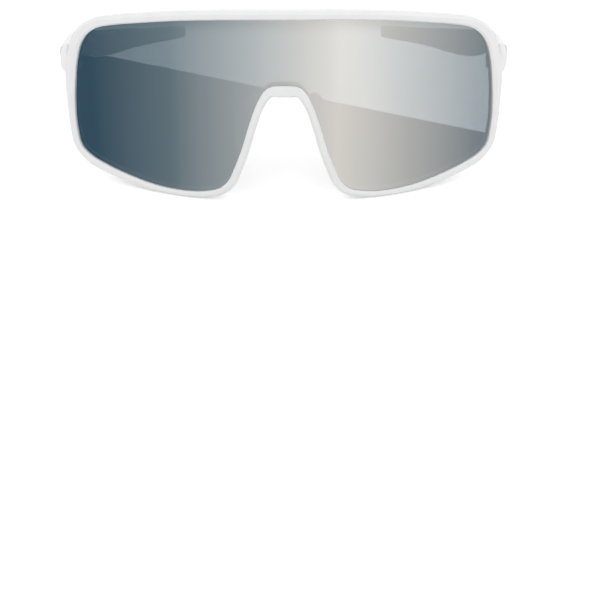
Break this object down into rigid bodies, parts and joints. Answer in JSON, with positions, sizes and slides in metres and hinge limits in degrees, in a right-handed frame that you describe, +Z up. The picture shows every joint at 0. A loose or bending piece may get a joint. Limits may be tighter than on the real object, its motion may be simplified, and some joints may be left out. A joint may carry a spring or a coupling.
{
  "type": "sports sunglasses",
  "caption": "Full-rim sports sunglasses with one wrapped mirrored shield lens, soft nose pads and straight temples that fold inwards on screwed hinges.",
  "frame": {"origin": "on the surface that the glasses stand on with open temples, under the middle of their outline", "axes": "-Y is the way the wearer looks, +X is the wearer's left, +Z is up; the temples run back along +Y and down to their tips"},
  "size_m": [0.1442, 0.1546, 0.0632],
  "materials": {
    "white_frame": "gloss white, slightly translucent nylon",
    "white_grip": "soft white, satin",
    "white_panel": "satin white with fine slanting ribs",
    "clear_silicone": "pale translucent silicone",
    "mirrored_lens": "silver mirror coat over a slate-blue tint",
    "dark_steel": "blackened",
    "satin_steel": "satin"
  },
  "bodies": {
    "front": {"front_frame": "white_frame", "shield_lens": "mirrored_lens", "nose_pad_left": "clear_silicone", "hinge_frame_leaf_left": "dark_steel", "hinge_screw_left": "satin_steel", "nose_pad_right": "clear_silicone", "hinge_frame_leaf_right": "dark_steel", "hinge_screw_right": "satin_steel"},
    "left_temple": {"temple_left": "white_frame", "ear_grip_left": "white_grip", "side_panel_left": "white_panel", "hinge_temple_leaf_left": "satin_steel", "leaf_screw_upper_left": "satin_steel", "leaf_screw_lower_left": "satin_steel"},
    "right_temple": {"temple_right": "white_frame", "ear_grip_right": "white_grip", "side_panel_right": "white_panel", "hinge_temple_leaf_right": "satin_steel", "leaf_screw_upper_right": "satin_steel", "leaf_screw_lower_right": "satin_steel"}
  },
  "joints": [
    {"name": "left_temple_fold", "type": "hinge", "parent": "front", "child": "left_temple", "pos_m": [0.0661, -0.04477, 0.0367], "axis": [0, 0.2074, 0.9783], "range_deg": [0, 78]},
    {"name": "right_temple_fold", "type": "hinge", "parent": "front", "child": "right_temple", "pos_m": [-0.0661, -0.04477, 0.0367], "axis": [0, -0.2074, -0.9783], "range_deg": [0, 72]}
  ]
}
